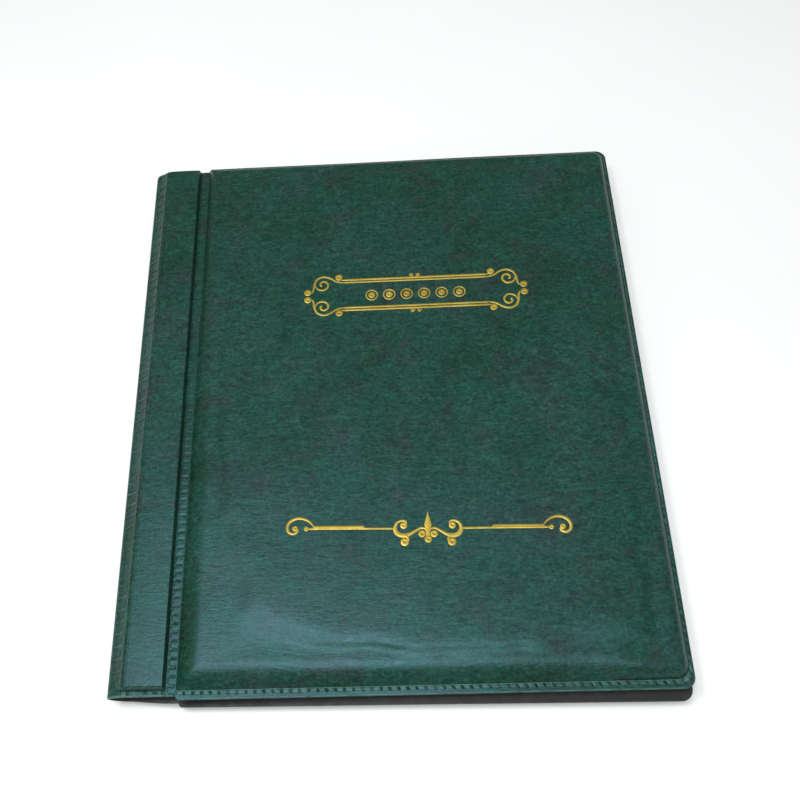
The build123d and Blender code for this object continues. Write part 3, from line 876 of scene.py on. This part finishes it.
class Stamp:
    """Collects gold strokes and discs drawn in millimetres about a centre, then lays them on the cover."""

    def __init__(self, name, node, surface_tree):
        low, high = box_mm(node)
        self.name = name
        self.node = node
        self.centre = ((low + high) / 2)[:2]
        self.tree = surface_tree
        self.tilt = 0.0
        self.stretch = 1.0
        self.points = []
        self.faces = []

    def sheet(self, xy, lift):
        """A grid of plan points with a lift above the cover for each."""
        rows, columns = xy.shape[:2]
        start = len(self.points)
        cos, sin = math.cos(self.tilt), math.sin(self.tilt)
        xy = (xy * [self.stretch, 1.0]) @ [[cos, sin], [-sin, cos]]
        for (px, py), rise in zip(xy.reshape(-1, 2), lift.ravel()):
            spot = Vector(((self.centre[0] + px) * MM, (self.centre[1] + py) * MM, 1.0))
            hit = self.tree.ray_cast(spot, Vector((0, 0, -1)))[0]
            self.points.append((hit.x / MM, hit.y / MM, hit.z / MM + rise))
        self.faces += grid_faces(rows, columns, start).tolist()

    def stroke(self, path, widths, mirror=(1, 1)):
        """A rounded ribbon along a smooth path; widths run evenly from its start to its end."""
        line = smooth_path(np.array(path, float)) * np.array(mirror)
        ahead = np.gradient(line, axis=0)
        ahead /= np.maximum(np.linalg.norm(ahead, axis=1, keepdims=True), 1e-9)
        aside = np.stack([-ahead[:, 1], ahead[:, 0]], axis=-1)
        t = np.linspace(0, 1, len(line))
        width = np.interp(t, np.linspace(0, 1, len(widths)), widths)
        round_end = np.sqrt(np.clip(np.minimum(t, 1 - t) * 26, 0, 1))
        half = (width * round_end / 2)[:, None, None]
        offsets = np.array([-1.0, -0.75, 0.0, 0.75, 1.0])
        xy = line[:, None, :] + aside[:, None, :] * half * offsets[None, :, None]
        lift = np.tile(np.array([-0.05, 0.035, 0.06, 0.035, -0.05]), (len(line), 1))
        self.sheet(xy, lift)

    def disc(self, x, y, radius, hole=0.0):
        """A domed disc, or a ring when hole is given."""
        turns = np.linspace(0, 2 * math.pi, 33)
        if hole:
            radii = np.array([hole, hole + 0.08, (hole + radius) / 2, radius - 0.08, radius])
            lifts = np.array([-0.05, 0.04, 0.06, 0.04, -0.05])
        else:
            radii = np.array([0.001, radius * 0.5, radius * 0.9, radius])
            lifts = np.array([0.060, 0.059, 0.052, -0.05])
        xy = np.stack([
            x + radii[:, None] * np.cos(turns)[None, :],
            y + radii[:, None] * np.sin(turns)[None, :],
        ], axis=-1)
        self.sheet(xy, np.tile(lifts[:, None], (1, len(turns))))

    def finish(self):
        """Builds the foil and lets it ride on the front cover."""
        piece = make_object(self.name, self.points, self.faces, [GOLD], smooth_angle=60.0)
        thick = piece.modifiers.new("thickness", "SOLIDIFY")
        thick.thickness = 0.03 * MM
        thick.offset = -1.0
        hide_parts(self.node)
        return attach(piece, "front_cover")


def smooth_path(points, step=0.16):
    """Catmull-Rom curve through the points."""
    padded = np.concatenate([[2 * points[0] - points[1]], points, [2 * points[-1] - points[-2]]])
    out = []
    for i in range(len(points) - 1):
        a, b, c, d = padded[i:i + 4]
        count = max(3, int(np.linalg.norm(c - b) / step))
        for t in np.arange(count) / count:
            bend = (2 * a - 5 * b + 4 * c - d) * t**2
            twist = (3 * b - a - 3 * c + d) * t**3
            out.append(0.5 * (2 * b + (c - a) * t + bend + twist))
    out.append(points[-1])
    return np.array(out)


def spiral(x, y, start_radius, end_radius, start_angle, end_angle, count=26):
    """Points of a spiral; angles in degrees."""
    t = np.linspace(0, 1, count)
    angle = np.radians(start_angle + (end_angle - start_angle) * t)
    radius = start_radius + (end_radius - start_radius) * t
    return np.stack([x + radius * np.cos(angle), y + radius * np.sin(angle)], axis=-1)


def draw_frame(stamp):
    """The cartouche: double bars, and at each end a pair of scrolls with small balls."""
    stamp.centre[1] += 0.5
    stamp.stretch = 1.018
    bar_end = -29.4
    for up in (1, -1):
        stamp.stroke([(bar_end, 7.2 * up), (0, 7.2 * up), (-bar_end, 7.2 * up)], [1.0])
        stamp.stroke([(bar_end, 6.0 * up), (0, 6.0 * up), (-bar_end, 6.0 * up)], [0.85])
        for across in (1, -1):
            flip = (across, up)
            stamp.stroke(
                [(-28.6, 6.0), (-31.2, 6.7), (-33.5, 8.3), (-36.2, 9.1),
                 (-38.7, 8.0), (-39.9, 5.4), (-40.2, 3.0), (-40.9, 1.4)],
                [0.75, 0.85, 0.95, 1.0, 0.95, 0.8],
                flip,
            )
            stamp.stroke(spiral(-36.45, 5.3, 3.15, 0.6, 170, 600), [0.5, 0.9, 0.95, 0.9, 1.1], flip)
            stamp.disc(-42.5 * across, 1.75 * up, 1.5)
            stamp.disc(-30.1 * across, 8.5 * up, 1.5)
            stamp.stroke(spiral(-1.35, 8.3, 0.6, 0.35, -90, 240), [0.8, 0.95, 0.9], flip)


def draw_discs(stamp):
    """Plain coin-like rings in place of lettering."""
    count, pitch, radius = 6, 7.0, 2.6
    for i in range(count):
        x = (i - (count - 1) / 2) * pitch
        stamp.disc(x, 0, radius, radius - 0.65)
        stamp.disc(x, 0, radius - 1.15)


def draw_flourish(stamp):
    """A long line with hooked ends, and a spear between two scrolls in the middle; it is a little tilted."""
    stamp.tilt = math.radians(-1.3)
    line = 0.3
    reach = 1.03
    for across in (1, -1):
        flip = (across * reach, 1)
        stamp.stroke([(-41.6, line - 0.1), (-27.0, line - 0.1), (-11.6, line - 0.2)], [0.85], flip)
        stamp.stroke([(-39.8, line + 0.4), (-31.0, line + 0.4), (-21.8, line + 0.35)], [1.45], flip)
        stamp.disc(across * reach * -42.0, line - 0.1, 0.95)
        stamp.stroke(
            [(-39.3, line + 0.7), (-41.0, line + 2.6), (-43.2, line + 3.7), (-45.6, line + 3.8),
             (-47.7, line + 2.6), (-48.6, line + 0.7), (-48.2, line - 1.1), (-46.7, line - 1.9),
             (-45.2, line - 1.2), (-45.1, line + 0.1)],
            [0.6, 0.95, 1.15, 1.2, 1.2, 1.1, 1.1],
            flip,
        )
        stamp.disc(across * reach * -45.9, line + 0.1, 1.1)
        flip = (across, 1)
        stamp.disc(across * -8.6, line + 0.9, 1.35)
        stamp.stroke(
            [(-7.5, line + 1.3), (-7.9, line + 2.4), (-9.3, line + 2.7), (-11.0, line + 1.8),
             (-11.7, line - 0.2), (-10.9, line - 2.0), (-9.0, line - 2.8), (-6.7, line - 2.4),
             (-4.6, line - 1.2), (-2.6, line - 0.1), (-1.0, line - 0.3), (-0.3, line - 1.4)],
            [0.7, 0.8, 1.1, 1.7, 2.0, 1.8, 1.3, 1.0, 0.9, 0.9],
            flip,
        )
        hook = [(-9.0, line - 2.6), (-7.4, line - 3.3), (-6.9, line - 4.8)]
        stamp.stroke(hook, [1.5, 1.1, 0.9], flip)
        stamp.disc(across * -8.3, line - 5.2, 1.6)
        stamp.disc(across * -2.1, line - 2.2, 1.45)
    spear = [(0, line + 6.2), (0, line + 3.4), (0, line + 0.9), (0, line - 0.6)]
    stamp.stroke(spear, [0.12, 1.0, 2.1, 3.2, 1.2])
    stamp.stroke([(0, line - 0.4), (0, line - 2.4), (0, line - 4.0)], [1.9, 1.7, 1.3])
    stamp.disc(0, line - 4.2, 1.4)


# ---------------------------------------------------------------- assembly

surface = pad_surface()
for side, label in ((1, "front"), (-1, "back")):
    pad = build_pad(side, label, surface)
    build_foam(side, label)
    build_border(side, label)
    build_panel_lining(side, label)
    build_strip(side, label)
    build_strip_lining(side, label)
    build_groove(side, label)
    shoulder = build_shoulder(side, label)
    if side > 0:
        front_pad = pad
        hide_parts("spine_skin", "spine_lining")

for number in range(1, LEAVES + 1):
    build_leaf(number)

bpy.context.view_layer.update()
tree = BVHTree.FromObject(front_pad, bpy.context.evaluated_depsgraph_get())
for name, node, draw in (
    ("title_frame_gold", "title_frame_foil", draw_frame),
    ("title_discs_gold", "title_discs_foil", draw_discs),
    ("flourish_gold", "flourish_foil", draw_flourish),
):
    stamp = Stamp(name, node, tree)
    draw(stamp)
    stamp.finish()

for node, material in (
    ("front_cover_board", BOARD), ("back_cover_board", BOARD),
    ("front_strip_board", BOARD), ("back_strip_board", BOARD),
    ("binding_bar_front", PLASTIC), ("binding_bar_back", PLASTIC),
    ("post_barrels", BRASS), ("post_screws", BRASS),
    ("spine_web", BLACK), ("leaf_margins", FILM),
):
    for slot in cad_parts[node].material_slots:
        slot.material = material


# ---------------------------------------------------------------- floor, light and camera

def build_floor():
    """A wide floor just under the album."""
    half, z = 2500.0, -0.05
    points = [(-half, -half, z), (half, -half, z), (half, half, z), (-half, half, z)]
    floor = make_object("floor", points, [(0, 1, 2, 3)], [pale_floor("pale_floor")])


def area_light(name, place, target, size, power, colour):
    """A rectangular lamp that faces its target; place, target and size are in metres."""
    data = bpy.data.lights.new(name, "AREA")
    data.shape = "RECTANGLE"
    data.size, data.size_y = size
    data.energy = power
    data.color = colour
    lamp = bpy.data.objects.new(name, data)
    lamp.location = place
    lamp.rotation_euler = (Vector(target) - Vector(place)).to_track_quat("-Z", "Y").to_euler()
    bpy.context.scene.collection.objects.link(lamp)


def build_lights():
    """Two windows that glare on the foot of the padding and the strip, a weak side lamp and a pale world."""
    daylight = (0.98, 0.99, 1.0)
    world_light, world_seen = 0.33, 0.80
    area_light("long_window", (-0.06, -0.15, 0.90), (0, -0.105, 0), (0.46, 0.16), 4.8, daylight)
    area_light("spine_window", (-0.34, 0.0, 0.86), (-0.085, -0.1, 0), (0.20, 0.14), 1.8, daylight)
    area_light("side", (1.1, 0.5, 0.45), (0, 0, 0), (0.3, 0.3), 0.15, (1.0, 1.0, 1.0))
    world = bpy.data.worlds.new("studio")
    world.use_nodes = True
    background = world.node_tree.nodes["Background"]
    background.inputs["Color"].default_value = (*daylight, 1.0)
    seen = world.node_tree.nodes.new("ShaderNodeLightPath").outputs["Is Camera Ray"]
    strength = world.node_tree.nodes.new("ShaderNodeMapRange")
    strength.inputs["To Min"].default_value = world_light
    strength.inputs["To Max"].default_value = world_seen
    world.node_tree.links.new(seen, strength.inputs["Value"])
    world.node_tree.links.new(strength.outputs["Result"], background.inputs["Strength"])
    bpy.context.scene.world = world
    bpy.context.scene.view_settings.view_transform = "Standard"


def build_camera():
    """The camera stands over the foot of the album and looks down on its front cover."""
    data = bpy.data.cameras.new("camera")
    data.lens = 43.4
    data.sensor_width = 36.0
    data.shift_x = 0.07
    data.clip_start = 0.01
    data.clip_end = 20.0
    camera = bpy.data.objects.new("camera", data)
    camera.location = (0.00135, -0.17249, 0.34154)
    camera.rotation_euler = (math.radians(27.07), math.radians(3.38), math.radians(-0.65))
    bpy.context.scene.collection.objects.link(camera)
    bpy.context.scene.camera = camera


build_floor()
build_lights()
build_camera()
